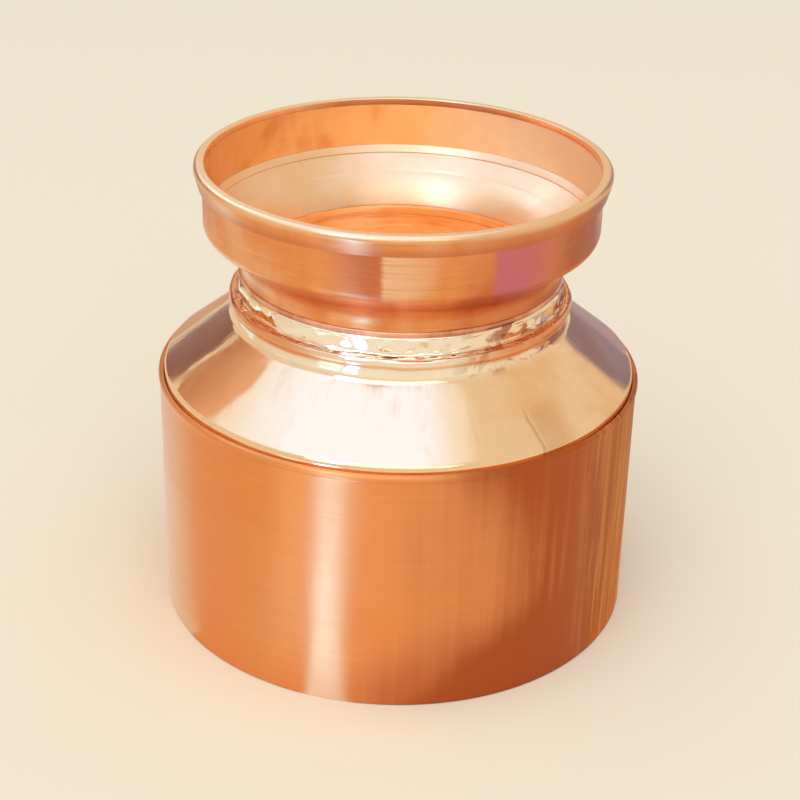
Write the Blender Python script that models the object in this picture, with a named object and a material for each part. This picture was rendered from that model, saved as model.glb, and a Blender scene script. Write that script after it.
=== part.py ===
# A copper lota: turned sheet shells set into each other, with braze rings and a wired lip.
import math

import bpy

MM = 0.001
CLEARANCE = 0.3 * MM  # gap between pieces that touch

# How finely the round shapes are faceted
TURN_SEGMENTS = 40
ARC_STEPS = 4
SMALL_ARC_STEPS = 3
ROLL_STEPS = 7
RING_SIDES = 8
SHARP_ANGLE = math.radians(40.0)

# Body wall
BODY_RADIUS = 56.0 * MM
BODY_HEIGHT = 58.4 * MM
WALL = 0.8 * MM
WALL_BEAD_HEIGHT = 1.6 * MM
WALL_BEAD_PROUD = 0.3 * MM
WALL_LIP = 0.3 * MM  # plain edge above the bead

# Base pan
PAN_SHEET = 0.8 * MM
PAN_FLANGE = 6.0 * MM
PAN_CORNER = 1.2 * MM
BASE_BRAZE = 1.1 * MM  # height of the braze over the flange

# Shoulder
SHOULDER_SHEET = 0.7 * MM
SHOULDER_SLOPE = math.radians(38.0)
SHOULDER_EDGE = 1.6 * MM  # radius from the cone into the skirt
SHOULDER_RISE = 0.45 * MM  # straight skirt that shows above the wall
SKIRT_DEPTH = 6.0 * MM
SHOULDER_SOLDER = 1.1 * MM  # height of the solder under the skirt
COLLAR_RADIUS = 39.0 * MM
COLLAR_FILLET = 4.0 * MM
COLLAR_STRAIGHT = 0.8 * MM  # upright stretch under the bead
COLLAR_BEAD_HEIGHT = 2.4 * MM
COLLAR_BEAD_PROUD = 0.6 * MM

# Neck
NECK_SHEET = 0.7 * MM
NECK_RISE = 4.5 * MM  # from the collar's top to the ledge under the mouth
NECK_DRAW_IN = 0.4 * MM  # how much narrower the neck is at its top
NECK_BULGE = 0.4 * MM
LEDGE_TURN = 0.3 * MM  # inner radius where the ledge turns down
LEDGE_FLAT = 0.1 * MM
LEDGE_FILLET = 0.5 * MM
NECK_SOLDER_SPREAD = 0.8  # share of the collar's fillet that the solder covers
NECK_SOLDER_TIP = 0.15 * MM  # width of the solder at its top
SPIGOT_TIP = 0.3 * MM  # spigot below its solder
FUNNEL_EDGE = math.radians(-10.0)  # where the funnel ends on the bowl's upper turn

# Mouth
MOUTH_SHEET = 0.6 * MM
MOUTH_BEAD = 0.8 * MM  # diameter of the solder bead under the foot
MOUTH_SKIRT = 1.6 * MM  # upright stretch above the foot
FLARE_RADIUS = 6.5 * MM
BOWL_SLOPE = math.radians(38.0)
BOWL_RUN = 5.67 * MM  # straight stretch along the slope
BAND_TURN = 3.2 * MM
BAND_HEIGHT = 11.3 * MM  # from the turn's end to the wire's centre

# Rolled lip
WIRE_RADIUS = 0.5 * MM
WIRE_CLEARANCE = 0.25 * MM
FLAP_DROP = 3.65 * MM  # from the wire's centre to the flap's edge

# Places of the shoulder
skirt_radius = BODY_RADIUS - WALL - CLEARANCE
edge_r = skirt_radius - SHOULDER_EDGE
edge_z = BODY_HEIGHT + SHOULDER_RISE
steep = math.pi / 2 - SHOULDER_SLOPE
cone_r = edge_r + SHOULDER_EDGE * math.sin(SHOULDER_SLOPE)
cone_z = edge_z + SHOULDER_EDGE * math.cos(SHOULDER_SLOPE)
fillet_r = COLLAR_RADIUS + COLLAR_FILLET
fillet_z = (
    cone_z
    + (cone_r - fillet_r) * math.tan(SHOULDER_SLOPE)
    + COLLAR_FILLET / math.cos(SHOULDER_SLOPE)
)
collar_top = fillet_z + COLLAR_STRAIGHT + COLLAR_BEAD_HEIGHT

# Places of the neck, which stands in the collar
neck_radius = COLLAR_RADIUS - SHOULDER_SHEET - CLEARANCE
neck_top_r = neck_radius - NECK_DRAW_IN
ledge_turn = NECK_SHEET + LEDGE_TURN
ledge_z = collar_top + NECK_RISE
tube_radius = neck_top_r - ledge_turn - LEDGE_FLAT - LEDGE_FILLET

# Places of the mouth, which stands round the neck's upper tube
mouth_inner = tube_radius + CLEARANCE
foot_z = ledge_z + CLEARANCE + MOUTH_BEAD + CLEARANCE
flare_r = mouth_inner + MOUTH_SHEET + FLARE_RADIUS
flare_z = foot_z + MOUTH_SKIRT
both_turns = FLARE_RADIUS + BAND_TURN
turn_r = flare_r - both_turns * math.sin(BOWL_SLOPE) + BOWL_RUN * math.cos(BOWL_SLOPE)
turn_z = flare_z + both_turns * math.cos(BOWL_SLOPE) + BOWL_RUN * math.sin(BOWL_SLOPE)
band_radius = turn_r + BAND_TURN
roll_radius = WIRE_RADIUS + WIRE_CLEARANCE + MOUTH_SHEET
wire_r = band_radius - MOUTH_SHEET + roll_radius
wire_z = turn_z + BAND_HEIGHT


def arc(r, z, radius, start, end, steps):
    turns = [start + (end - start) * i / steps for i in range(steps + 1)]
    return [(r + radius * math.cos(t), z + radius * math.sin(t)) for t in turns]


def bead(r, top, height, proud):
    # a round bead on an upright wall, from its top to its foot
    radius = (height * height / 4 + proud * proud) / (2 * proud)
    half = math.asin(height / (2 * radius))
    return arc(r + proud - radius, top - height / 2, radius, half, -half, ARC_STEPS)


def bowl(inset, top_angle):
    # the mouth's bowl, moved inwards by inset, from its upper turn down to the skirt
    turn = arc(turn_r, turn_z, BAND_TURN - inset, top_angle, BOWL_SLOPE - math.pi / 2, ARC_STEPS)
    flare = arc(flare_r, flare_z, FLARE_RADIUS + inset, BOWL_SLOPE + math.pi / 2, math.pi, ARC_STEPS)
    return turn + flare


def round_loop(r, z, radius):
    return arc(r, z, radius, math.pi, -math.pi, RING_SIDES)[:-1]


def copper(name, colour, roughness):
    material = bpy.data.materials.new(name)
    material.use_nodes = True
    shader = material.node_tree.nodes["Principled BSDF"]
    shader.inputs["Base Color"].default_value = (*colour, 1.0)
    shader.inputs["Metallic"].default_value = 1.0
    shader.inputs["Roughness"].default_value = roughness
    return material


def turned_profile(name, points, closed, material):
    mesh = bpy.data.meshes.new(name)
    edges = [(i, i + 1) for i in range(len(points) - 1)]
    if closed:
        edges.append((len(points) - 1, 0))
    mesh.from_pydata([(r, 0.0, z) for r, z in points], edges, [])
    mesh.materials.append(material)
    piece = bpy.data.objects.new(name, mesh)
    bpy.context.scene.collection.objects.link(piece)
    screw = piece.modifiers.new("turn", "SCREW")
    screw.steps = TURN_SEGMENTS
    screw.render_steps = TURN_SEGMENTS
    screw.use_merge_vertices = True
    screw.merge_threshold = 0.00001
    return piece


def set_mesh(piece):
    # keeps the finished mesh, smooth on its round sides and sharp at its rims
    bpy.context.view_layer.update()
    graph = bpy.context.evaluated_depsgraph_get()
    mesh = bpy.data.meshes.new_from_object(piece.evaluated_get(graph))
    mesh.name = piece.name
    piece.modifiers.clear()
    piece.data = mesh
    mesh.shade_smooth()
    mesh.set_sharp_from_angle(angle=SHARP_ANGLE)


def turned_sheet(name, path, sheet, side, material):
    # side is -1 for a path on the sheet's outer face, and 1 for a path on its inner face
    piece = turned_profile(name, path, False, material)
    solidify = piece.modifiers.new("sheet", "SOLIDIFY")
    solidify.thickness = sheet
    solidify.offset = side
    solidify.use_even_offset = True
    set_mesh(piece)


def turned_ring(name, loop, material):
    # the loop runs down its outer side and up its inner side
    set_mesh(turned_profile(name, loop, True, material))


def make_body(material):
    path = [(BODY_RADIUS, BODY_HEIGHT)]
    path += bead(BODY_RADIUS, BODY_HEIGHT - WALL_LIP, WALL_BEAD_HEIGHT, WALL_BEAD_PROUD)
    path.append((BODY_RADIUS, 0.0))
    turned_sheet("body_wall", path, WALL, -1, material)


def make_base(material, braze):
    path = [(skirt_radius, PAN_FLANGE)]
    path += arc(skirt_radius - PAN_CORNER, PAN_CORNER, PAN_CORNER, 0.0, -math.pi / 2, SMALL_ARC_STEPS)
    path.append((0.0, 0.0))
    turned_sheet("base_pan", path, PAN_SHEET, -1, material)
    low = PAN_FLANGE + CLEARANCE
    fillet = [
        (skirt_radius, low + BASE_BRAZE),
        (skirt_radius, low),
        (skirt_radius - PAN_SHEET, low),
    ]
    turned_ring("base_braze", fillet, braze)


def make_shoulder(material, braze):
    path = bead(COLLAR_RADIUS, collar_top, COLLAR_BEAD_HEIGHT, COLLAR_BEAD_PROUD)
    path += arc(fillet_r, fillet_z, COLLAR_FILLET, math.pi, math.pi + steep, ARC_STEPS)
    path += arc(edge_r, edge_z, SHOULDER_EDGE, steep, 0.0, SMALL_ARC_STEPS)
    skirt_foot = BODY_HEIGHT - SKIRT_DEPTH
    path.append((skirt_radius, skirt_foot))
    turned_sheet("shoulder", path, SHOULDER_SHEET, -1, material)
    high = skirt_foot - CLEARANCE
    fillet = [
        (skirt_radius, high),
        (skirt_radius, high - SHOULDER_SOLDER),
        (skirt_radius - SHOULDER_SHEET, high),
    ]
    turned_ring("shoulder_solder", fillet, braze)


def neck_joint():
    # the solder's face against the inside of the collar's fillet, top to foot
    reach = COLLAR_FILLET + SHOULDER_SHEET + CLEARANCE
    top = math.acos((reach - CLEARANCE - NECK_SOLDER_TIP) / reach)
    foot = NECK_SOLDER_SPREAD * steep
    return arc(fillet_r, fillet_z, reach, math.pi + top, math.pi + foot, SMALL_ARC_STEPS)


def make_neck(material, braze):
    joint = neck_joint()
    joint_top = joint[0][1]
    joint_foot = joint[-1][1]
    corner_r = tube_radius + LEDGE_FILLET
    corner_z = ledge_z + LEDGE_FILLET
    band_z = ledge_z - ledge_turn
    path = bowl(MOUTH_SHEET + CLEARANCE, FUNNEL_EDGE)
    path += arc(corner_r, corner_z, LEDGE_FILLET, math.pi, 1.5 * math.pi, SMALL_ARC_STEPS)
    path += arc(neck_top_r - ledge_turn, band_z, ledge_turn, math.pi / 2, 0.0, SMALL_ARC_STEPS)
    for i in range(1, ARC_STEPS + 1):
        t = i / ARC_STEPS
        r = neck_top_r + NECK_DRAW_IN * t + NECK_BULGE * math.sin(math.pi * t)
        path.append((r, band_z + (collar_top - band_z) * t))
    path.append((neck_radius, joint_foot - SPIGOT_TIP))
    turned_sheet("neck_funnel", path, NECK_SHEET, -1, material)
    seat = neck_radius + CLEARANCE
    turned_ring("neck_solder", joint + [(seat, joint_foot), (seat, joint_top)], braze)


def make_mouth(material, braze):
    flap_r = band_radius + CLEARANCE + MOUTH_SHEET
    reach = math.hypot(flap_r - wire_r, FLAP_DROP)
    lean = math.atan2(-FLAP_DROP, flap_r - wire_r) + math.acos(roll_radius / reach)
    path = [(flap_r, wire_z - FLAP_DROP)]
    path += arc(wire_r, wire_z, roll_radius, lean, math.pi, ROLL_STEPS)
    path += bowl(MOUTH_SHEET, 0.0)
    path.append((mouth_inner, foot_z))
    turned_sheet("mouth_collar", path, MOUTH_SHEET, 1, material)
    turned_ring("rim_wire", round_loop(wire_r, wire_z, WIRE_RADIUS), material)
    half = MOUTH_BEAD / 2
    drop = round_loop(mouth_inner + half, ledge_z + CLEARANCE + half, half)
    turned_ring("mouth_solder", drop, braze)


def main():
    for item in list(bpy.data.objects):
        bpy.data.objects.remove(item)
    satin = copper("satin_copper", (0.80, 0.34, 0.14), 0.32)
    polished = copper("polished_copper", (0.90, 0.58, 0.38), 0.08)
    turned = copper("turned_copper", (0.84, 0.42, 0.21), 0.28)
    braze = copper("braze", (0.72, 0.42, 0.18), 0.40)
    make_body(satin)
    make_base(satin, braze)
    make_shoulder(polished, braze)
    make_neck(polished, braze)
    make_mouth(turned, braze)


main()
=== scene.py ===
import math

import bpy
from mathutils import Matrix, Vector


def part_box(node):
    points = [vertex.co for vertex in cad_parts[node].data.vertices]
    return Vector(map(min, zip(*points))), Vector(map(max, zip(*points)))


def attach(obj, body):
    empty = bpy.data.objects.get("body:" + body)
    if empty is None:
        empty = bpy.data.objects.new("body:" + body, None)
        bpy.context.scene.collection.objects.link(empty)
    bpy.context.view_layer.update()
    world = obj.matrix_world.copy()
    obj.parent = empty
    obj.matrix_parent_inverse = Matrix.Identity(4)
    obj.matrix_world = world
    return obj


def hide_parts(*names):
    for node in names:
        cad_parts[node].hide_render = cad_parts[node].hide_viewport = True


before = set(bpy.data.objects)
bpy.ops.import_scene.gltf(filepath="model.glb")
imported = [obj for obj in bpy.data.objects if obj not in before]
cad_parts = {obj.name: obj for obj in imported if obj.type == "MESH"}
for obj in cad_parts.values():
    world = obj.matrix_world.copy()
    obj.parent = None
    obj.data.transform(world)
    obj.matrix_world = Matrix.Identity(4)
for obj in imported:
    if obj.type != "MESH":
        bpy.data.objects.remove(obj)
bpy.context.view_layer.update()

mm = 0.001  # the piece dictionaries are in millimetres
sides = 240  # steps round each turned shell
print("frame loaded with", len(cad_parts), "nodes")


# small helpers for the stage and the finishes

def newNode(tree, kind, operation=None):
    node = tree.nodes.new("ShaderNode" + kind)
    if operation:
        node.operation = operation
    return node


def setInputs(node, values):
    for socket, value in values.items():
        node.inputs[socket].default_value = value


def newMaterial(name):
    material = bpy.data.materials.new(name)
    material.use_nodes = True
    return material, material.node_tree.nodes["Principled BSDF"]


def objectCoords(tree):
    return newNode(tree, "TexCoord").outputs["Object"]


def axes(tree):
    split = newNode(tree, "SeparateXYZ")
    tree.links.new(objectCoords(tree), split.inputs[0])
    return split.outputs["X"], split.outputs["Y"], split.outputs["Z"]


def combine(tree, operation, *values):
    # joins numbers or sockets, two or more
    total = values[0]
    for value in values[1:]:
        node = newNode(tree, "Math", operation)
        for socket, part in zip(node.inputs, (total, value)):
            if isinstance(part, (int, float)):
                socket.default_value = part
            else:
                tree.links.new(part, socket)
        total = node.outputs[0]
    return total


def times(tree, *values):
    return combine(tree, "MULTIPLY", *values)


def swing(tree, pattern, size):
    # makes a pattern of 0 to 1 swing about zero
    return times(tree, combine(tree, "SUBTRACT", pattern, 0.5), size)


def average(tree, first, share, second):
    return combine(tree, "ADD", times(tree, first, share), times(tree, second, 1 - share))


def remap(tree, value, low, high, toLow=0.0, toHigh=1.0):
    node = newNode(tree, "MapRange")
    node.interpolation_type = "SMOOTHSTEP"
    setInputs(node, {"From Min": low, "From Max": high, "To Min": toLow, "To Max": toHigh})
    tree.links.new(value, node.inputs["Value"])
    return node.outputs["Result"]


def ramp(tree, length, span, levels=(0.0, 1.0)):
    # the same for a length, with its two ends in millimetres
    return remap(tree, length, span[0] * mm, span[1] * mm, *levels)


def mixColour(tree, factor, first, second):
    node = newNode(tree, "MixRGB")
    tree.links.new(factor, node.inputs["Fac"])
    for socket, value in zip((node.inputs["Color1"], node.inputs["Color2"]), (first, second)):
        if isinstance(value, tuple):
            socket.default_value = (*value, 1)
        else:
            tree.links.new(value, socket)
    return node.outputs["Color"]


def tint(tree, colour, pattern, cut, tone):
    return mixColour(tree, remap(tree, pattern, *cut), colour, tone)


def addObject(name, data):
    thing = bpy.data.objects.new(name, data)
    bpy.context.scene.collection.objects.link(thing)
    return thing


camera = {
    "eye": (0.0, -0.3868, 0.2447),
    "aim": (0.0006, 0.0, 0.04785),
    "lens": 81.76,
    "roll": 1.505,  # degrees, the right side hangs a little lower
    "near": 0.01,
}


def setCamera():
    data = bpy.data.cameras.new("photoView")
    data.lens = camera["lens"]
    data.clip_start = camera["near"]
    view = addObject("photoView", data)
    eye = Vector(camera["eye"])
    look = (Vector(camera["aim"]) - eye).to_track_quat("-Z", "Y").to_matrix().to_4x4()
    roll = Matrix.Rotation(math.radians(camera["roll"]), 4, "Z")
    view.matrix_world = Matrix.Translation(eye) @ look @ roll
    bpy.context.scene.camera = view
    bpy.context.scene.view_settings.view_transform = "Standard"
    print("camera set")


stage = {
    "floorSize": 16.0,
    "floorLevel": -0.0002,
    "floorRoughness": 0.9,
    "paleColour": (0.863, 0.776, 0.617, 1),
    "skyFill": 0.58,  # light that the sky gives the floor
    "lampTarget": (0, 0, 0.06),
    "matLevel": -0.0001,
    "matStep": -0.00001,  # from one mat down to the next
    "matEnd": 0.3,  # glow of a soft mat at its narrow end
    "matReach": 0.7,  # how far that end fades, as a share of the softness
}

# softboxes: place, width and height in metres, power in watts, colour
lamps = {
    "overhead": ((-0.10, -1.10, 4.60), (4.4, 4.4), 109.0, (1.0, 1.00, 1.00)),
    "front": ((-0.20, -2.00, 1.75), (3.0, 1.6), 12.0, (1.0, 1.02, 1.06)),
    "gleam": ((-0.44, -0.70, 0.72), (0.22, 0.66), 1.4, (0.84, 1.02, 1.60)),
}
glossOnly = ("gleam",)  # lights the metal and leaves the floor even
floorOnly = ("overhead",)  # the metal sees the paper sky below instead

# a small lamp that reaches down the mouth
throatLamp = {
    "place": (0.0, -0.30, 0.45),
    "aim": (0.0, 0.036, 0.060),
    "power": 11.5,
    "cone": 10.6,  # degrees
    "blend": 0.4,
    "size": 0.004,
}

# a sheet of paper over the object that the metal mirrors, faded towards its sides
paperSky = {
    "height": 2.4,
    "left": -3.10,
    "fade": -1.25,  # where the full white starts
    "dim": 0.30,  # where it starts to fade again
    "right": 1.0,
    "front": -1.65,
    "back": 1.90,
    "white": (1.09, 1.39, 2.00),
    "cream": (0.98, 1.00, 0.95),
}

# plain cards that only the metal sees: place, width and height, colour at either edge
cards = {
    "cardRight": ((0.66, 0.93, 0.38), (0.36, 0.62), (0.30, 0.27, 0.37), (0.30, 0.27, 0.37)),
    "cardGrey": ((0.50, 1.03, 0.10), (0.46, 0.26), (0.33, 0.28, 0.37), (0.33, 0.28, 0.37)),
    "cardLeft": ((-0.62, 0.95, 0.28), (0.50, 0.46), (0.36, 0.25, 0.29), (0.28, 0.16, 0.14)),
    "cardWarm": ((-0.148, 0.048, 0.149), (0.072, 0.072), (0.54, 0.26, 0.16), (0.84, 0.53, 0.35)),
    "cardGlow": ((-0.107, 0.102, 0.21), (0.09, 0.09), (1.40, 2.05, 2.90), (1.40, 2.05, 2.90)),
}

# mats on the floor that only the metal sees: place, length and width, turn in degrees,
# width of the end at the foot as a share of the other, softness, colour
mats = {
    "matGleam": ((-0.050, -0.110), (0.146, 0.040), 237.5, 0.26, 0.5, (1.40, 3.80, 9.60)),
    "matHalo": ((-0.086, -0.102), (0.140, 0.070), 219.0, 0.40, 0.9, (1.20, 1.35, 1.35)),
    "matLeft": ((-0.088, 0.064), (0.170, 0.120), -32.7, 1.0, 0.0, (0.92, 1.25, 1.30)),
    "matRight": ((0.088, 0.064), (0.170, 0.120), 32.7, 1.0, 0.0, (0.84, 0.52, 0.20)),
    "matDusk": ((0.245, 0.140), (0.200, 0.220), 32.7, 1.0, 0.0, (0.50, 0.42, 0.42)),
    "matRose": ((-0.220, 0.500), (0.660, 0.170), 115.0, 0.4, 0.0, (0.65, 0.40, 0.28)),
    "matBrown": ((0.250, 0.620), (0.910, 0.170), 68.0, 0.4, 0.0, (0.45, 0.35, 0.39)),
}


def aimAt(thing, place, target):
    thing.location = place
    aim = Vector(target) - Vector(place)
    thing.rotation_euler = aim.to_track_quat("-Z", "Y").to_euler()


def addLamp(name, place, size, power, colour):
    data = bpy.data.lights.new(name, "AREA")
    data.shape = "RECTANGLE"
    data.size, data.size_y = size
    data.energy = power
    data.color = colour
    lamp = addObject(name, data)
    lamp.visible_diffuse = name not in glossOnly
    lamp.visible_glossy = name not in floorOnly
    aimAt(lamp, place, stage["lampTarget"])


def addThroatLamp():
    data = bpy.data.lights.new("throatLamp", "SPOT")
    data.energy = throatLamp["power"]
    data.spot_size = math.radians(throatLamp["cone"])
    data.spot_blend = throatLamp["blend"]
    data.shadow_soft_size = throatLamp["size"]
    lamp = addObject("throatLamp", data)
    lamp.visible_glossy = False
    aimAt(lamp, throatLamp["place"], throatLamp["aim"])


def newPlane(name, size):
    # a glowing sheet, one unit across, that neither the eye nor the floor sees
    bpy.ops.object.select_all(action="DESELECT")
    bpy.ops.mesh.primitive_plane_add(size=1)
    plane = bpy.context.object
    plane.name = name
    plane.scale = (*size, 1)
    paint, shader = newMaterial(name)
    glow = {"Base Color": (0, 0, 0, 1), "Specular IOR Level": 0.0, "Emission Strength": 1.0}
    setInputs(shader, glow)
    plane.data.materials.append(paint)
    plane.visible_camera = False
    plane.visible_diffuse = False
    plane.visible_shadow = False
    return plane, paint.node_tree, shader


def addCard(name, place, size, start, end):
    card, tree, shader = newPlane(name, size)
    colour = mixColour(tree, remap(tree, axes(tree)[0], -0.5, 0.5), start, end)
    tree.links.new(colour, shader.inputs["Emission Color"])
    aimAt(card, place, stage["lampTarget"])


def addMat(name, level, place, size, turn, taper, soft, colour):
    mat, tree, shader = newPlane(name, size)
    shader.inputs["Emission Color"].default_value = (*colour, 1)
    if soft > 0:
        x, y = axes(tree)[:2]
        # half its width there, which the taper changes along its length
        grown = times(tree, x, (1 - taper) / 2)
        half = combine(tree, "ADD", grown, (1 + taper) / 4)
        aside = combine(tree, "DIVIDE", combine(tree, "ABSOLUTE", y, 0.0), half)
        across = remap(tree, aside, 1 - soft, 1.0, 1.0, 0.0)
        along = remap(tree, x, -0.5, stage["matReach"] * soft - 0.5, stage["matEnd"], 1.0)
        strength = times(tree, across, along)
        glow = mixColour(tree, strength, stage["paleColour"][:3], colour)
        tree.links.new(glow, shader.inputs["Emission Color"])
    mat.location = (*place, level)
    mat.rotation_euler.z = math.radians(turn)
    for corner in mat.data.vertices:
        if corner.co.x < 0:
            corner.co.y *= taper  # the end at the foot is the narrow one


def addPaperSky():
    sky = paperSky
    width = sky["right"] - sky["left"]
    depth = sky["back"] - sky["front"]
    paper, tree, shader = newPlane("paperSky", (width, depth))
    paper.location = (sky["left"] + width / 2, sky["front"] + depth / 2, sky["height"])
    x = axes(tree)[0]
    fadeEnd = (sky["fade"] - sky["left"]) / width - 0.5
    dimStart = (sky["dim"] - sky["left"]) / width - 0.5
    leftFade = remap(tree, x, -0.5, fadeEnd)
    rightFade = remap(tree, x, dimStart, 0.5, 1.0, 0.0)
    whiteness = combine(tree, "MINIMUM", leftFade, rightFade)
    colour = mixColour(tree, whiteness, sky["cream"], sky["white"])
    tree.links.new(colour, shader.inputs["Emission Color"])


def setWorld():
    # the eye and the metal see the pale backdrop, the floor gets a softer fill
    world = bpy.data.worlds.new("paleRoom")
    bpy.context.scene.world = world
    world.use_nodes = True
    tree = world.node_tree
    tree.nodes.clear()
    path = newNode(tree, "LightPath")
    rays = [path.outputs["Is " + kind + " Ray"] for kind in ("Camera", "Glossy", "Transmission")]
    seen = combine(tree, "MAXIMUM", *rays)
    fill = newNode(tree, "Background")
    setInputs(fill, {"Color": (1, 1, 1, 1), "Strength": stage["skyFill"]})
    backdrop = newNode(tree, "Background")
    backdrop.inputs["Color"].default_value = stage["paleColour"]
    mix = newNode(tree, "MixShader")
    out = newNode(tree, "OutputWorld")
    tree.links.new(seen, mix.inputs["Fac"])
    tree.links.new(fill.outputs[0], mix.inputs[1])
    tree.links.new(backdrop.outputs[0], mix.inputs[2])
    tree.links.new(mix.outputs[0], out.inputs["Surface"])


def setStage():
    bpy.ops.object.select_all(action="DESELECT")
    bpy.ops.mesh.primitive_plane_add(size=stage["floorSize"], location=(0, 0, stage["floorLevel"]))
    floor = bpy.context.object
    floor.name = "floor"
    pale, shader = newMaterial("paleFloor")
    setInputs(shader, {"Base Color": stage["paleColour"], "Roughness": stage["floorRoughness"]})
    shader.inputs["Specular IOR Level"].default_value = 0.0
    floor.data.materials.append(pale)
    for name, values in lamps.items():
        addLamp(name, *values)
    for name, values in cards.items():
        addCard(name, *values)
    for i, (name, values) in enumerate(mats.items()):
        addMat(name, stage["matLevel"] + stage["matStep"] * i, *values)
    addThroatLamp()
    addPaperSky()
    setWorld()
    print("floor and lamps set")


setCamera()
setStage()


def newMetal(name, anisotropy=0.0, metallic=1.0):
    material, shader = newMaterial(name)
    tree = material.node_tree
    shader.inputs["Metallic"].default_value = metallic
    if anisotropy > 0:
        # so that the gleam runs across the turning lines
        setInputs(shader, {"Anisotropic": anisotropy, "Anisotropic Rotation": 0.25})
        tangent = newNode(tree, "Tangent")
        tangent.direction_type = "RADIAL"
        tangent.axis = "Z"
        tree.links.new(tangent.outputs["Tangent"], shader.inputs["Tangent"])
    return material, tree, shader


def turnedCoords(tree, around, along):
    # round the axis in x and y, along the profile in z, each with its own scale
    x, y, z = axes(tree)
    squares = combine(tree, "ADD", times(tree, x, x), times(tree, y, y))
    radius = combine(tree, "SQRT", squares, 0.0)
    profile = combine(tree, "SUBTRACT", z, radius)
    ring = [times(tree, combine(tree, "DIVIDE", side, radius), around) for side in (x, y)]
    coords = newNode(tree, "CombineXYZ")
    for socket, value in zip(coords.inputs, (*ring, times(tree, profile, along))):
        tree.links.new(value, socket)
    return coords.outputs["Vector"]


def noise(tree, coords, scale, detail=2.0, roughness=0.5, distortion=0.0):
    node = newNode(tree, "TexNoise")
    texture = {"Scale": scale, "Detail": detail, "Roughness": roughness, "Distortion": distortion}
    setInputs(node, texture)
    tree.links.new(coords, node.inputs["Vector"])
    return node.outputs["Fac"]


def plainNoise(tree, *texture):
    return noise(tree, objectCoords(tree), *texture)


def turnedNoise(tree, around, along, *texture):
    return noise(tree, turnedCoords(tree, around, along), 1.0, *texture)


def addBump(tree, shader, height, strength, distance, below=None):
    node = newNode(tree, "Bump")
    setInputs(node, {"Strength": strength, "Distance": distance})
    tree.links.new(height, node.inputs["Height"])
    if below:
        tree.links.new(below, node.inputs["Normal"])
    tree.links.new(node.outputs["Normal"], shader.inputs["Normal"])
    return node.outputs["Normal"]


def setSurface(tree, shader, colour, dullness, cut, gloss):
    tree.links.new(colour, shader.inputs["Base Color"])
    tree.links.new(remap(tree, dullness, *cut, *gloss), shader.inputs["Roughness"])


def reach(node):
    # widest radius, lowest and highest level of a CAD node, in millimetres
    low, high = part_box(node)
    return high.x / mm, low.z / mm, high.z / mm


# In the finishes, a pattern is its scale (around and along, if turned), detail, roughness, distortion.
# A cut is the range of a pattern where a colour comes in, and how much of it. A span is two places
# in millimetres, often with the amounts there. A bump is its strength, and its depth in metres.

satinFinish = {
    "clean": (0.88, 0.320, 0.096),
    "pale": (0.95, 0.45, 0.19),
    "tarnish": (0.44, 0.080, 0.014),
    "paintedGoldReflection": (0.86, 0.43, 0.13),
    "stain": (0.45, 0.11, 0.03),
    "gloss": (0.36, 0.46),  # roughness, bright to dull
    "lacquer": 0.15,
    "lacquerRoughness": 0.22,
    "anisotropy": 0.85,
    "brushed": (1.2, 2600.0, 3.0, 0.6),
    "drips": (17.0, 7.0, 2.0, 0.5, 0.8),
    "veins": (21.0, 24.0, 2.0, 0.5, 1.0),
    "waves": (6.0, 40.0, 2.0),
    "clouds": (19.0, 3.0, 0.5, 0.4),
    "spots": (130.0, 4.0, 0.6),
    "paintedLightLeftSpan": ((-22.0, 8.0), (-0.14, 0.06)),  # painted lighter to the left
    "paintedShadeRightSpan": ((18.0, 42.0), (-0.02, 0.26)),  # painted shade, darker to the right
    "bloomHeight": 32.0,  # the unshaded part reaches furthest right at this height
    "bloom": 19.0,
    # long runs on the right, partly tarnish and partly painted reflection
    "tarnishAndReflectionRunSpan": ((14.0, 40.0), (0.10, 0.42)),
    # painted shade round the foot
    "paintedShadeFootSpan": ((0.0, 26.0), (0.17, 0.0)),
    "cloudSize": 0.34,
    "tarnishCut": (-0.02, 0.34, 0.0, 0.88),
    "paleCut": (0.40, 0.70, 0.0, 0.35),
    "goldenCut": (0.34, 0.76),
    # painted gold reflection: on the right side, strongest at the front
    "goldenSpan": ((38.0, 48.0), (0.0, 0.55)),
    "goldenFront": ((-6.0, 20.0), (1.0, 0.1)),
    "stainCut": (0.62, 0.78, 0.0, 0.10),
    "brushCut": (0.3, 0.7, 0.0, 0.06),
    "dullCut": (0.35, 0.65),
    "dullShare": 0.6,
    "waveBump": (0.2, 0.0004),
    "brushBump": (0.06, 0.00006),
}


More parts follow.
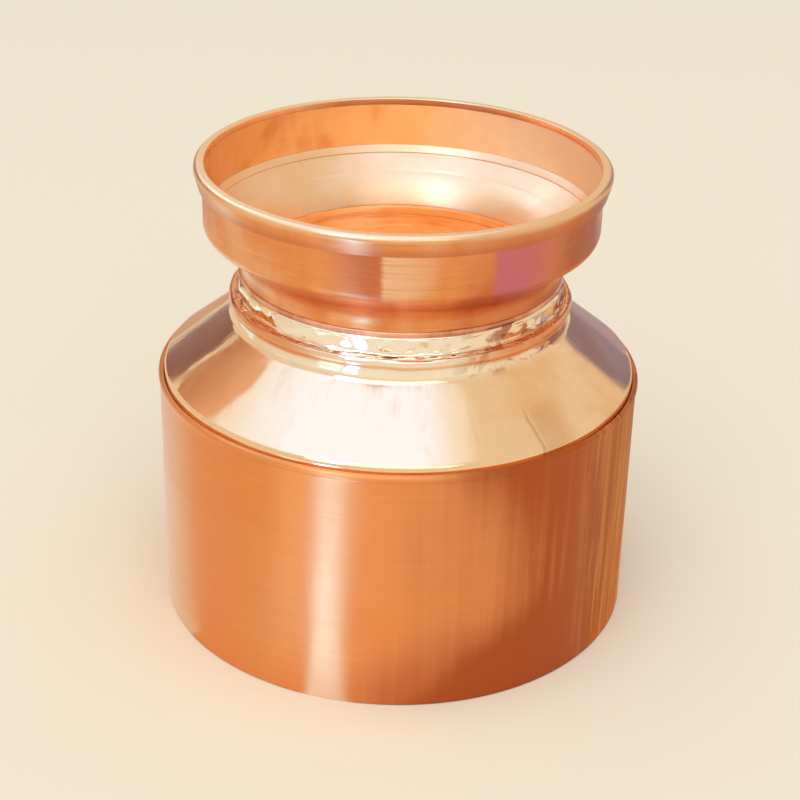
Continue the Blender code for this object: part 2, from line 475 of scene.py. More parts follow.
def makeSatin():
    finish = satinFinish
    material, tree, shader = newMetal("satinCopper", finish["anisotropy"])
    lacquer = {"Coat Weight": finish["lacquer"], "Coat Roughness": finish["lacquerRoughness"]}
    setInputs(shader, lacquer)
    x, y, z = axes(tree)
    brushed = turnedNoise(tree, *finish["brushed"])
    drips = turnedNoise(tree, *finish["drips"])
    veins = turnedNoise(tree, *finish["veins"])
    clouds = plainNoise(tree, *finish["clouds"])
    spots = plainNoise(tree, *finish["spots"])
    # painted shade: darker to the right and round the foot, lighter to the left; the long runs on the
    # right are partly tarnish and partly painted reflection
    middle = combine(tree, "SUBTRACT", z, finish["bloomHeight"] * mm)
    bloom = times(tree, middle, middle, finish["bloom"])
    paintedLightLeft = ramp(tree, x, *finish["paintedLightLeftSpan"])
    paintedShadeRight = ramp(tree, combine(tree, "ADD", x, bloom), *finish["paintedShadeRightSpan"])
    tarnishAndReflectionRuns = swing(tree, drips, ramp(tree, x, *finish["tarnishAndReflectionRunSpan"]))
    softened = swing(tree, clouds, finish["cloudSize"])
    paintedShadeFoot = ramp(tree, z, *finish["paintedShadeFootSpan"])
    darkening = combine(tree, "ADD", paintedLightLeft, paintedShadeRight, tarnishAndReflectionRuns, softened, paintedShadeFoot)
    colour = tint(tree, finish["clean"], clouds, finish["paleCut"], finish["pale"])
    colour = tint(tree, colour, darkening, finish["tarnishCut"], finish["tarnish"])
    # painted reflection: gold veins on the right front
    goldenSide = ramp(tree, x, *finish["goldenSpan"])
    goldenFront = ramp(tree, y, *finish["goldenFront"])
    veined = remap(tree, veins, *finish["goldenCut"])
    paintedGoldReflection = times(tree, veined, goldenSide, goldenFront)
    colour = mixColour(tree, paintedGoldReflection, colour, finish["paintedGoldReflection"])
    colour = tint(tree, colour, spots, finish["stainCut"], finish["stain"])
    colour = tint(tree, colour, brushed, finish["brushCut"], finish["tarnish"])
    dullness = average(tree, clouds, finish["dullShare"], brushed)
    setSurface(tree, shader, colour, dullness, finish["dullCut"], finish["gloss"])
    soft = addBump(tree, shader, turnedNoise(tree, *finish["waves"]), *finish["waveBump"])
    addBump(tree, shader, brushed, *finish["brushBump"], soft)
    return material


polishFinish = {
    "clean": (0.94, 0.67, 0.43),
    "warm": (0.90, 0.52, 0.27),
    "film": (0.62, 0.42, 0.36),
    "reflectionEdge": (0.58, 0.32, 0.18),
    "neckHighlight": (0.98, 0.88, 0.74),  # painted highlight on the front of the neck
    "stain": (0.42, 0.14, 0.08),
    "grooveShade": (0.82, 0.33, 0.14),  # painted shade in the groove
    "gloss": (0.06, 0.20),
    "rubbed": (14.0, 60.0, 4.0, 0.6, 0.6),
    "fine": (60.0, 260.0, 3.0, 0.6),
    "stained": (4.0, 150.0, 3.0, 0.6, 0.8),
    "clouds": (34.0, 4.0, 0.55, 0.5),
    "waves": (55.0, 2.0),
    "rubbedShare": 0.5,
    "warmCut": (0.70, 0.98, 0.0, 0.4),
    "filmCut": (0.60, 0.78, 0.0, 0.15),
    "warmReflectionRight": ((12.0, 30.0), (0.0, 0.9)),  # painted warm reflection on the right side
    "warmSideCut": (0.40, 0.64),
    "brightSpan": (71.0, 73.2),  # heights where the painted highlight on the neck sets in
    "brightLeft": ((-38.0, -20.0), (0.0, 1.0)),
    "brightRight": ((10.0, 24.0), (1.0, 0.4)),
    "stainCut": (0.49, 0.57, 0.0, 0.9),
    "stainAndShadeLeft": ((-24.0, -8.0), (0.12, 0.0)),
    "stainAndShadeRight": ((8.0, 24.0), (0.0, 1.0)),
    "grooveEdge": 0.3,
    "grooveRagged": 1.6,
    "grooveShadeSides": ((12.0, 26.0), (0.15, 0.9)),  # the painted shade is left out at the front and back
    "dullCut": (0.36, 0.68),
    "dullShare": 0.6,
    "waveBump": (0.35, 0.0010),
    "fineBump": (0.05, 0.00006),
}

# a painted reflection edge on the shoulder
reflectionEdge = {
    "angle": 35.5,  # degrees from the front, to the right
    "wobble": 4.0,
    "line": ((0.1, 0.9), (0.6, 0.0)),
    "softStart": ((0.0, 1.5), (0.0, 0.35)),
    "softEnd": ((3.0, 13.0), (1.0, 0.0)),
    "under": ((64.0, 67.0), (1.0, 0.0)),
    "front": ((-28.0, -20.0), (1.0, 0.0)),
}


def paintedReflectionEdge(tree, x, y, z, rubbed):
    # painted reflection edge: a dark line down the slope with a soft side to its right
    angle = math.radians(reflectionEdge["angle"])
    alongX = times(tree, x, math.cos(angle))
    alongY = times(tree, y, math.sin(angle))
    across = combine(tree, "ADD", alongX, alongY)
    bent = combine(tree, "ADD", across, swing(tree, rubbed, reflectionEdge["wobble"] * mm))
    line = ramp(tree, combine(tree, "ABSOLUTE", bent, 0.0), *reflectionEdge["line"])
    softStart = ramp(tree, across, *reflectionEdge["softStart"])
    softEnd = ramp(tree, across, *reflectionEdge["softEnd"])
    shape = combine(tree, "MAXIMUM", line, times(tree, softStart, softEnd))
    under = ramp(tree, z, *reflectionEdge["under"])
    front = ramp(tree, y, *reflectionEdge["front"])
    return times(tree, shape, under, front)


def makePolish(name, waviness, grooveLow, grooveHigh):
    finish = polishFinish
    material, tree, shader = newMetal(name)
    x, y, z = axes(tree)
    rubbed = turnedNoise(tree, *finish["rubbed"])
    fine = turnedNoise(tree, *finish["fine"])
    stained = turnedNoise(tree, *finish["stained"])
    clouds = plainNoise(tree, *finish["clouds"])
    hazy = combine(tree, "ADD", clouds, times(tree, rubbed, finish["rubbedShare"]))
    colour = tint(tree, finish["clean"], hazy, finish["warmCut"], finish["warm"])
    colour = tint(tree, colour, rubbed, finish["filmCut"], finish["film"])
    # painted reflection, warmer to the right
    warmReflectionRight = ramp(tree, x, *finish["warmReflectionRight"])
    warmReflectionRight = times(tree, warmReflectionRight, remap(tree, clouds, *finish["warmSideCut"]))
    colour = mixColour(tree, warmReflectionRight, colour, finish["warm"])
    # painted reflection edge on the shoulder
    colour = mixColour(tree, paintedReflectionEdge(tree, x, y, z, rubbed), colour, finish["reflectionEdge"])
    # painted highlight on the front of the neck; its sides get stains with painted shade, mostly to the
    # right
    onNeck = ramp(tree, z, finish["brightSpan"])
    brightLeft = ramp(tree, x, *finish["brightLeft"])
    brightRight = ramp(tree, x, *finish["brightRight"])
    paintedHighlightFront = combine(tree, "MINIMUM", brightLeft, brightRight)
    colour = mixColour(tree, times(tree, onNeck, paintedHighlightFront), colour, finish["neckHighlight"])
    # stains with painted shade at the neck's sides, most on the right
    stainAndShadeLeft = ramp(tree, x, *finish["stainAndShadeLeft"])
    stainAndShadeRight = ramp(tree, x, *finish["stainAndShadeRight"])
    stainAndShadeSides = combine(tree, "MAXIMUM", stainAndShadeLeft, stainAndShadeRight)
    stain = times(tree, remap(tree, stained, *finish["stainCut"]), stainAndShadeSides, onNeck)
    colour = mixColour(tree, stain, colour, finish["stain"])
    # painted shade: a ragged orange ring in the groove, left out at the front and back
    edge = finish["grooveEdge"]
    level = combine(tree, "ADD", z, swing(tree, clouds, finish["grooveRagged"] * mm))
    above = ramp(tree, level, (grooveLow - edge, grooveLow + edge))
    below = ramp(tree, level, (grooveHigh - edge, grooveHigh + edge), (1.0, 0.0))
    shadeAtSides = ramp(tree, combine(tree, "ABSOLUTE", x, 0.0), *finish["grooveShadeSides"])
    grooveShade = times(tree, above, below, shadeAtSides)
    colour = mixColour(tree, grooveShade, colour, finish["grooveShade"])
    dullness = average(tree, rubbed, finish["dullShare"], fine)
    setSurface(tree, shader, colour, dullness, finish["dullCut"], finish["gloss"])
    strength, depth = finish["waveBump"]
    soft = addBump(tree, shader, plainNoise(tree, *finish["waves"]), strength * waviness, depth)
    addBump(tree, shader, fine, *finish["fineBump"], soft)
    return material


# a mark has its sharp and its soft side across the front, its foot's height and its strength
turnedFinish = {
    "clean": (0.83, 0.312, 0.100),
    "pale": (0.93, 0.56, 0.34),
    "tarnish": (0.60, 0.16, 0.065),
    "wearAndHighlight": (0.94, 0.62, 0.36),  # the lip, worn by hands and painted pale as a highlight
    "reflectedViolet": (0.62, 0.17, 0.24),
    "gloss": (0.26, 0.37),
    "anisotropy": 0.45,
    "metallic": 1.0,
    "paleReflectionMark": ((-3.8, 9.0), 91.0, 0.9),  # painted reflection: a paler patch in front
    "darkReflectionMark": ((-4.0, -18.0), 91.0, 0.9),  # painted reflection: a redder patch beside it
    "violetReflectionMark": ((19.5, 36.0), 87.0, 1.0),  # painted reflection: a violet patch to the right
    "darkSide": ((5.0, 26.0), (0.0, 0.6)),  # painted shade, darker to the right
    "flapEdge": 103.45,  # height of the turned-down flap's edge
    "flapSoft": 0.1,
    "flapShade": ((0.3, 2.8), (0.6, 0.0)),  # painted shade above that edge
}

# the inside of the mouth's band: a paler copy of the turned copper, painted light
bandPaintedLightFinish = {
    "clean": (0.99, 0.48, 0.15),
    "pale": (0.99, 0.60, 0.26),
    "tarnish": (0.82, 0.27, 0.06),
    "wearAndHighlight": (0.94, 0.60, 0.34),
    "paintedLightPale": (0.99, 0.78, 0.48),
    "gloss": (0.50, 0.64),
    "anisotropy": 0.7,
    "metallic": 0.62,  # a thin film of oxide dulls it
    "paintedLightRight": ((0.0, 36.0), (0.0, 0.8)),  # painted light, paler to the right
}

lathePatterns = {
    "lathe": (2.2, 1500.0, 4.0, 0.7),
    "rings": (0.4, 420.0, 2.0),
    "patches": (2.6, 30.0, 3.0, 0.55, 0.3),
    "clouds": (48.0, 5.0, 0.6, 0.4),
    "cloudShare": 0.6,
    "paleCut": (0.50, 0.66, 0.0, 0.35),
    "tarnishCut": (-0.22, -0.02, 0.0, 0.7),
    "paleLines": (0.52, 0.75, 0.0, 0.35),
    "darkLines": (0.28, 0.46, 0.25, 0.0),
    "wornSpan": (-1.6, 0.4),  # heights about the lip's top
    "wornAmount": (0.0, 0.9),
    "wornRagged": 1.5,
    "dullCut": (0.36, 0.66),
    "dullShare": 0.5,
    "ringBump": (0.12, 0.0002),
    "latheBump": (0.14, 0.00008),
}

markShape = {
    "ragged": 2.0,  # how far the lathe lines carry a mark's edge sideways
    "edge": 0.06,  # width of the sharp side, as a share of the mark
    "fade": 0.25,  # where it starts to fade
    "front": (-20.0, -10.0),
    "footFade": 5.0,
    "topFade": 0.2,
    "lineCut": (0.36, 0.56, 0.6, 1.0),
}


def paintMark(tree, across, lathe, y, z, span, low, strength, high):
    # fades from the sharp to the soft side, between two heights
    shape = markShape
    sharp, soft = (side + shape["ragged"] / 2 for side in span)
    blur, fadeStart = shape["edge"] * (soft - sharp), shape["fade"] * (soft - sharp)
    edge = ramp(tree, across, (sharp - blur, sharp + blur))
    fade = ramp(tree, across, (sharp + fadeStart, soft), (1.0, 0.0))
    front = ramp(tree, y, shape["front"], (strength, 0.0))
    lines = remap(tree, lathe, *shape["lineCut"])
    foot = ramp(tree, z, (low, low + shape["footFade"]))
    top = ramp(tree, z, (high - shape["topFade"], high), (1.0, 0.0))
    return times(tree, edge, fade, front, lines, foot, top)


def paintMouth(tree, colour, finish, lathe, x, y, z):
    edge = finish["flapEdge"]
    across = combine(tree, "ADD", x, times(tree, lathe, markShape["ragged"] * mm))
    # painted shade, darker to the right
    colour = mixColour(tree, ramp(tree, x, *finish["darkSide"]), colour, finish["tarnish"])
    # three painted reflections on the outside of the band
    for name, tone in (("paleReflectionMark", "pale"), ("darkReflectionMark", "tarnish"), ("violetReflectionMark", "reflectedViolet")):
        mark = paintMark(tree, across, lathe, y, z, *finish[name], edge)
        colour = mixColour(tree, mark, colour, finish[tone])
    # painted shade on the flap, most of it at its edge
    (low, high), amounts = finish["flapShade"]
    onFlap = ramp(tree, z, (edge - finish["flapSoft"], edge))
    flapShadow = ramp(tree, z, (edge + low, edge + high), amounts)
    return mixColour(tree, times(tree, onFlap, flapShadow), colour, finish["tarnish"])


def makeTurned(name, finish):
    patterns = lathePatterns
    material, tree, shader = newMetal(name, finish["anisotropy"], finish["metallic"])
    x, y, z = axes(tree)
    lathe = turnedNoise(tree, *patterns["lathe"])
    rings = turnedNoise(tree, *patterns["rings"])
    patches = turnedNoise(tree, *patterns["patches"])
    clouds = plainNoise(tree, *patterns["clouds"])
    colour = tint(tree, finish["clean"], patches, patterns["paleCut"], finish["pale"])
    cloudy = times(tree, clouds, patterns["cloudShare"])
    darkening = combine(tree, "SUBTRACT", cloudy, patches)
    colour = tint(tree, colour, darkening, patterns["tarnishCut"], finish["tarnish"])
    colour = tint(tree, colour, lathe, patterns["paleLines"], finish["pale"])
    colour = tint(tree, colour, lathe, patterns["darkLines"], finish["tarnish"])
    if "paleReflectionMark" in finish:
        colour = paintMouth(tree, colour, finish, lathe, x, y, z)
    # painted light on the inside of the band, paler to the right
    if "paintedLightRight" in finish:
        colour = mixColour(tree, ramp(tree, x, *finish["paintedLightRight"]), colour, finish["paintedLightPale"])
    # the lip is worn, and painted pale as a highlight
    lip = reach("mouth_collar")[2]
    low, high = patterns["wornSpan"]
    ragged = times(tree, clouds, patterns["wornRagged"] * mm)
    height = combine(tree, "ADD", z, ragged)
    wearAndHighlight = ramp(tree, height, (lip + low, lip + high), patterns["wornAmount"])
    colour = mixColour(tree, wearAndHighlight, colour, finish["wearAndHighlight"])
    dullness = average(tree, lathe, patterns["dullShare"], clouds)
    setSurface(tree, shader, colour, dullness, patterns["dullCut"], finish["gloss"])
    soft = addBump(tree, shader, rings, *patterns["ringBump"])
    addBump(tree, shader, lathe, *patterns["latheBump"], soft)
    return material


funnelFinish = {
    "clean": (0.92, 0.60, 0.35),
    "pale": (0.93, 0.70, 0.48),
    "tarnish": (0.80, 0.40, 0.18),
    "gloss": (0.36, 0.50),
    "anisotropy": 0.4,
    "metallic": 1.0,
    "lathe": (1.4, 1700.0, 4.0, 0.7),
    "clouds": (60.0, 4.0, 0.6, 0.5),
    "paleCut": (0.40, 0.66, 0.0, 0.9),
    "lines": {"tarnish": (0.50, 0.78, 0.0, 0.4)},
    "dullCut": (0.35, 0.65),
    "latheBump": (0.15, 0.00008),
}

insideFinish = {
    "clean": (0.93, 0.35, 0.08),
    "pale": (0.98, 0.56, 0.22),
    "tarnish": (0.76, 0.22, 0.04),
    "anisotropy": 0.0,
    "metallic": 0.4,  # a thin film of oxide dulls the inside
    "gloss": (0.42, 0.60),
    "lathe": (1.5, 900.0, 3.0, 0.6),
    "clouds": (40.0, 5.0, 0.6, 0.5),
    "paleCut": (0.46, 0.66, 0.0, 0.6),
    "lines": {"pale": (0.54, 0.68, 0.0, 0.7), "tarnish": (0.32, 0.46, 0.6, 0.0)},
    "dullCut": (0.35, 0.65),
    "latheBump": (0.15, 0.0001),
}


def makeDull(name, finish):
    material, tree, shader = newMetal(name, finish["anisotropy"], finish["metallic"])
    lathe = turnedNoise(tree, *finish["lathe"])
    clouds = plainNoise(tree, *finish["clouds"])
    colour = tint(tree, finish["clean"], clouds, finish["paleCut"], finish["pale"])
    for tone, cut in finish["lines"].items():
        colour = tint(tree, colour, lathe, cut, finish[tone])
    setSurface(tree, shader, colour, clouds, finish["dullCut"], finish["gloss"])
    addBump(tree, shader, lathe, *finish["latheBump"])
    return material


brazeFinish = {
    "clean": (0.88, 0.50, 0.32),
    "dull": (0.62, 0.27, 0.15),
    "gloss": (0.30, 0.52),
    "grains": (900.0, 4.0, 0.6),
    "clouds": (120.0, 4.0, 0.6),
    "dullCut": (0.38, 0.66),
    "grainCut": (0.3, 0.7),
    "grainBump": (0.3, 0.0001),
}


def makeBraze():
    finish = brazeFinish
    material, tree, shader = newMetal("brazeMetal")
    grains = plainNoise(tree, *finish["grains"])
    clouds = plainNoise(tree, *finish["clouds"])
    colour = tint(tree, finish["clean"], clouds, finish["dullCut"], finish["dull"])
    setSurface(tree, shader, colour, grains, finish["grainCut"], finish["gloss"])
    addBump(tree, shader, grains, *finish["grainBump"])
    return material


# waviness, and the heights of the painted shade in the groove
polishes = {
    "shoulderPolish": (0.5, 74.4, 77.6),
    "neckPolish": (1.2, 76.0, 77.8),
}

satin = makeSatin()
shoulderPolish, neckPolish = [makePolish(name, *values) for name, values in polishes.items()]
turned = makeTurned("turnedCopper", turnedFinish)
bandPaintedLight = makeTurned("bandCopperPaintedLight", bandPaintedLightFinish)
funnelSatin = makeDull("funnelCopper", funnelFinish)
insideDull = makeDull("insideCopper", insideFinish)
braze = makeBraze()
print("finishes made")


# profile points are (radius, height), angles are in degrees from the outward side

def arc(r, z, radius, start, end, steps):
    angles = [math.radians(start + (end - start) * i / steps) for i in range(steps + 1)]
    return [(r + radius * math.cos(a), z + radius * math.sin(a)) for a in angles]


def roundBetween(start, end, sweep, steps):
    # a round stretch from one point to the other that turns by so many degrees
    across, rise = end[0] - start[0], end[1] - start[1]
    radius = math.hypot(across, rise) / (2 * math.sin(math.radians(sweep / 2)))
    first = math.degrees(math.atan2(rise, across)) - 90 - sweep / 2
    r = start[0] - radius * math.cos(math.radians(first))
    z = start[1] - radius * math.sin(math.radians(first))
    return arc(r, z, radius, first, first + sweep, steps)


def bead(r, top, height, proud, steps):
    radius = (height * height / 4 + proud * proud) / (2 * proud)
    half = math.degrees(math.asin(height / (2 * radius)))
    return arc(r + proud - radius, top - height / 2, radius, half, -half, steps)


def divide(points, longest):
    # adds points to long straights, so that dents have something to move
    divided = [points[0]]
    for start, end in zip(points, points[1:]):
        length = math.hypot(end[0] - start[0], end[1] - start[1])
        parts = max(1, math.ceil(length / longest))
        for i in range(1, parts + 1):
            t = i / parts
            divided.append((start[0] + (end[0] - start[0]) * t, start[1] + (end[1] - start[1]) * t))
    return divided


def editAll():
    bpy.ops.object.mode_set(mode="EDIT")
    bpy.ops.mesh.select_all(action="SELECT")


weld = {
    "profile": 0.001,  # joins the ends of a closed profile
    "seam": 0.002,  # joins the first and last step of a spin
    "bevel": 0.0001,  # closes a bevel where it has no room
}


def spinProfile(name, points, closed=False):
    bpy.ops.object.select_all(action="DESELECT")
    bpy.ops.mesh.primitive_plane_add(size=0.01)
    piece = bpy.context.object
    piece.name = name
    bpy.ops.object.mode_set(mode="EDIT")
    bpy.ops.mesh.merge(type="CENTER")
    bpy.ops.transform.translate(value=(points[0][0] * mm, 0, points[0][1] * mm))
    for start, end in zip(points, points[1:]):
        step = ((end[0] - start[0]) * mm, 0, (end[1] - start[1]) * mm)
        bpy.ops.mesh.extrude_vertices_move(TRANSFORM_OT_translate={"value": step})
    bpy.ops.mesh.select_all(action="SELECT")
    if closed:
        bpy.ops.mesh.remove_doubles(threshold=weld["profile"] * mm)
    bpy.ops.mesh.spin(steps=sides, angle=math.tau, center=(0, 0, 0), axis=(0, 0, 1))
    bpy.ops.mesh.select_all(action="SELECT")
    bpy.ops.mesh.remove_doubles(threshold=weld["seam"] * mm)
    bpy.ops.mesh.normals_make_consistent(inside=False)
    bpy.ops.object.mode_set(mode="OBJECT")
    return piece


def faceOutwards(piece, byTop):
    # an open shell has no inside, so its upright foot or top edge decides
    pick = max if byTop else min
    face = pick(piece.data.polygons, key=lambda f: f.center.z)
    if face.normal.x * face.center.x + face.normal.y * face.center.y < 0:
        editAll()
        bpy.ops.mesh.flip_normals()
        bpy.ops.object.mode_set(mode="OBJECT")


def groupBand(piece, low, high, narrowest):
    # points between two levels, outside a radius, that the dents may move
    group = piece.vertex_groups.new(name="band")
    for point in piece.data.vertices:
        spot = point.co
        if low * mm < spot.z < high * mm and math.hypot(spot.x, spot.y) > narrowest * mm:
            group.add([point.index], 1.0, "REPLACE")
    return group.name


def addDents(piece, texture, size, depth, group=""):
    dent = bpy.data.textures.new(texture, "CLOUDS")
    dent.noise_scale = size * mm
    dent.noise_depth = 1
    modifier = piece.modifiers.new("dents", "DISPLACE")
    modifier.texture = dent
    modifier.texture_coords = "LOCAL"
    modifier.strength = depth * mm
    modifier.mid_level = 0.5
    modifier.vertex_group = group
    bpy.ops.object.modifier_apply(modifier=modifier.name)


def addSheet(piece, sheet, offset, edge, join=weld["bevel"]):
    solidify = piece.modifiers.new("sheet", "SOLIDIFY")
    solidify.thickness = sheet * mm
    solidify.offset = offset
    solidify.use_even_offset = True
    bpy.ops.object.modifier_apply(modifier=solidify.name)
    bevel = piece.modifiers.new("softEdges", "BEVEL")
    bevel.width = edge * mm
    bevel.segments = 3
    bevel.limit_method = "ANGLE"
    bevel.angle_limit = math.radians(60)
    bpy.ops.object.modifier_apply(modifier=bevel.name)
    # the bevel leaves faces without any width where it has no room
    editAll()
    bpy.ops.mesh.remove_doubles(threshold=join * mm)
    bpy.ops.mesh.dissolve_degenerate(threshold=join * mm)
    bpy.ops.object.mode_set(mode="OBJECT")


def finishPiece(piece, node, material):
    bpy.ops.object.shade_smooth()
    weighted = piece.modifiers.new("evenShading", "WEIGHTED_NORMAL")
    weighted.keep_sharp = True
    bpy.ops.object.modifier_apply(modifier=weighted.name)
    piece.data.materials.append(material)
    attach(piece, "root")
    if node:
        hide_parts(node)
    print(piece.name, "made,", len(piece.data.polygons), "faces")


insidePaint = {
    "inward": 0.1,  # how far a face has to look to the axis
    "upward": 0.8,
    "floorTop": 3.0,  # faces that look up below this are the vessel's floor
}


def paintInside(piece, material, low=-math.inf, high=math.inf):
    # gives the faces that look to the axis or up from the floor their own finish
    piece.data.materials.append(material)
    slot = len(piece.data.materials) - 1
    for face in piece.data.polygons:
        spot = face.center
        outward = face.normal.x * spot.x + face.normal.y * spot.y
        inward = outward < -insidePaint["inward"] * math.hypot(spot.x, spot.y)
        upward = face.normal.z > insidePaint["upward"] and spot.z < insidePaint["floorTop"] * mm
        if (inward or upward) and low * mm < spot.z < high * mm:
            face.material_index = slot


wall = {
    "sheet": 0.8,
    "lip": 0.3,  # plain edge above the bead
    "lean": 0.5,  # the edge is rubbed down onto the shoulder
    "beadHeight": 1.6,
    "beadProud": 0.3,
    "edge": 0.18,
    "dentSize": 30.0,
    "dentDepth": 0.22,
    "longest": 2.0,  # step of the mesh along the profile
}


def makeWall():
    beadRadius, foot, top = reach("body_wall")
    radius = beadRadius - wall["beadProud"]
    points = [(radius - wall["lean"], top)]
    points += bead(radius, top - wall["lip"], wall["beadHeight"], wall["beadProud"], steps=14)
    points.append((radius, foot))
    piece = spinProfile("wallShell", divide(points, wall["longest"]))
    faceOutwards(piece, False)
    addDents(piece, "wallDents", wall["dentSize"], wall["dentDepth"])
    addSheet(piece, wall["sheet"], -1, wall["edge"])
    finishPiece(piece, "body_wall", satin)
    paintInside(piece, insideDull)


basePan = {
    "sheet": 0.8,
    "corner": 1.2,
    "edge": 0.18,
    "standRing": 8.0,  # width of the flat ring that it stands on
    "dish": 0.25,  # the middle is drawn up a little, so that the rim carries it
    "ringRadius": 30.0,  # turning groove under the base
    "ringDepth": 0.15,
    "longest": 2.5,
}


def makeBase():
    radius, foot, top = reach("base_pan")
    corner = basePan["corner"]
    lift = basePan["dish"]
    points = [(radius, top)]
    points += arc(radius - corner, foot + corner, corner, 0, -90, steps=10)
    points.append((radius - basePan["standRing"], foot))
    points += arc(basePan["ringRadius"], foot + lift, basePan["ringDepth"], 0, 180, steps=8)
    points.append((0.0, foot + lift))
    piece = spinProfile("basePan", divide(points, basePan["longest"]))
    faceOutwards(piece, True)
    addSheet(piece, basePan["sheet"], -1, basePan["edge"])
    finishPiece(piece, "base_pan", satin)
    paintInside(piece, insideDull)


shoulder = {
    "sheet": 0.7,
    "slope": 38.0,  # degrees
    "edgeRadius": 1.6,
    "edgeRise": 0.45,  # skirt that shows above the wall
    "collarRadius": 39.0,
    "collarFillet": 2.2,
    "beadHeight": 2.4,
    "beadProud": 0.6,
    "edge": 0.16,
    "dentSize": 18.0,
    "dentDepth": 0.26,
    "collarDentSize": 8.0,
    "collarDentDepth": 0.5,
    "collarDentBelow": 1.5,  # the collar's dents go so far below the bead
    "collarDentTop": 0.3,
    "collarDentInset": 0.5,
    "longest": 1.5,
}


def makeShoulder():
    radius, foot, top = reach("shoulder")
    wallTop = reach("body_wall")[2]
    steep = 90 - shoulder["slope"]
    edgeRadius = shoulder["edgeRadius"]
    fillet = shoulder["collarFillet"]
    slope = math.radians(shoulder["slope"])
    edgeR, edgeZ = radius - edgeRadius, wallTop + shoulder["edgeRise"]
    coneR = edgeR + edgeRadius * math.sin(slope)
    coneZ = edgeZ + edgeRadius * math.cos(slope)
    filletR = shoulder["collarRadius"] + fillet
    filletZ = coneZ + (coneR - filletR) * math.tan(slope) + fillet / math.cos(slope)
    points = bead(shoulder["collarRadius"], top, shoulder["beadHeight"], shoulder["beadProud"], steps=16)
    points += arc(filletR, filletZ, fillet, 180, 180 + steep, steps=16)
    points += arc(edgeR, edgeZ, edgeRadius, steep, 0, steps=12)
    points.append((radius, foot))
    piece = spinProfile("shoulderShell", divide(points, shoulder["longest"]))
    faceOutwards(piece, False)
    addDents(piece, "shoulderDents", shoulder["dentSize"], shoulder["dentDepth"])
    low = top - shoulder["beadHeight"] - shoulder["collarDentBelow"]
    narrowest = shoulder["collarRadius"] - shoulder["collarDentInset"]
    collar = groupBand(piece, low, top - shoulder["collarDentTop"], narrowest)
    addDents(piece, "collarDents", shoulder["collarDentSize"], shoulder["collarDentDepth"], collar)
    addSheet(piece, shoulder["sheet"], -1, shoulder["edge"])
    finishPiece(piece, "shoulder", shoulderPolish)
    paintInside(piece, insideDull)


bowl = {
    "turnRadius": 2.9,  # outside, from the band into the bowl
    "flareRadius": 6.5,  # outside, from the bowl into the skirt
    "slope": 38.0,
    "run": 5.82,  # straight stretch between the two
    "skirt": 0.6,
}


def bowlCentres():
    # the flare stands on the mouth's foot, the turn follows along the slope
    foot = reach("mouth_collar")[1]
    slope = math.radians(bowl["slope"])
    flareR = mouth["skirtRadius"] + bowl["flareRadius"]
    flareZ = foot + bowl["skirt"]
    both = bowl["flareRadius"] + bowl["turnRadius"]
    turnR = flareR - both * math.sin(slope) + bowl["run"] * math.cos(slope)
    turnZ = flareZ + both * math.cos(slope) + bowl["run"] * math.sin(slope)
    return (flareR, flareZ), (turnR, turnZ)


def bowlPoints(inset):
    flare, turn = bowlCentres()
    low = bowl["slope"] - 90
    points = arc(*turn, bowl["turnRadius"] - inset, 0, low, steps=14)
    points += arc(*flare, bowl["flareRadius"] + inset, low + 180, 180, steps=18)
    return points


mouth = {
    "sheet": 0.6,
    "skirtRadius": 36.9,
    "footDrop": 0.45,  # the foot is drawn down into the solder
    "wire": 0.5,
    "wireSlack": 0.25,
    "wireHold": 0.05,  # the sheet is rolled tight on the wire
    "brow": 0.3,  # radius of the lip's inner edge
    "browLean": 87.0,  # degrees, the way the top of the lip faces
    "flapGap": 0.3,
    "flapDrop": 3.65,  # from the wire's middle down to the flap's edge
    "edge": 0.14,
    "dentSize": 24.0,
    "dentDepth": 0.24,
    "longest": 1.4,
}


def wireCentre():
    lipRadius = reach("mouth_collar")[0]
    top = reach("mouth_collar")[2]
    half = mouth["wire"] + mouth["wireSlack"] + mouth["sheet"]
    return lipRadius - half, top - half


def bandRadius():
    # inside of the upright band
    return bowlCentres()[1][0] + bowl["turnRadius"] - mouth["sheet"]


def makeMouth():
    foot = reach("mouth_collar")[1]
    sheet = mouth["sheet"]
    wireR, wireZ = wireCentre()
    roll = mouth["wire"] + mouth["wireHold"] + sheet
    bandR = bandRadius()
    flapR = bandR + sheet + mouth["flapGap"] + sheet
    span = math.hypot(flapR - wireR, mouth["flapDrop"])
    lean = math.degrees(math.atan2(-mouth["flapDrop"], flapR - wireR) + math.acos(roll / span))
    # the roll and the inner edge share one straight top that leans outwards
    brow, facing = mouth["brow"], math.radians(mouth["browLean"])
    browR = bandR + brow
    browZ = wireZ + (roll - brow - (browR - wireR) * math.cos(facing)) / math.sin(facing)
    points = [(flapR, wireZ - mouth["flapDrop"])]
    points += arc(wireR, wireZ, roll, lean, mouth["browLean"], steps=18)
    points += arc(browR, browZ, brow, mouth["browLean"], 180, steps=10)
    points += bowlPoints(sheet)
    points.append((mouth["skirtRadius"] - sheet, foot - mouth["footDrop"]))
    piece = spinProfile("mouthCollar", divide(points, mouth["longest"]))
    faceOutwards(piece, False)
    addDents(piece, "mouthDents", mouth["dentSize"], mouth["dentDepth"])
    addSheet(piece, sheet, 1, mouth["edge"])
    finishPiece(piece, "mouth_collar", turned)
    paintInside(piece, bandPaintedLight, high=wireZ)


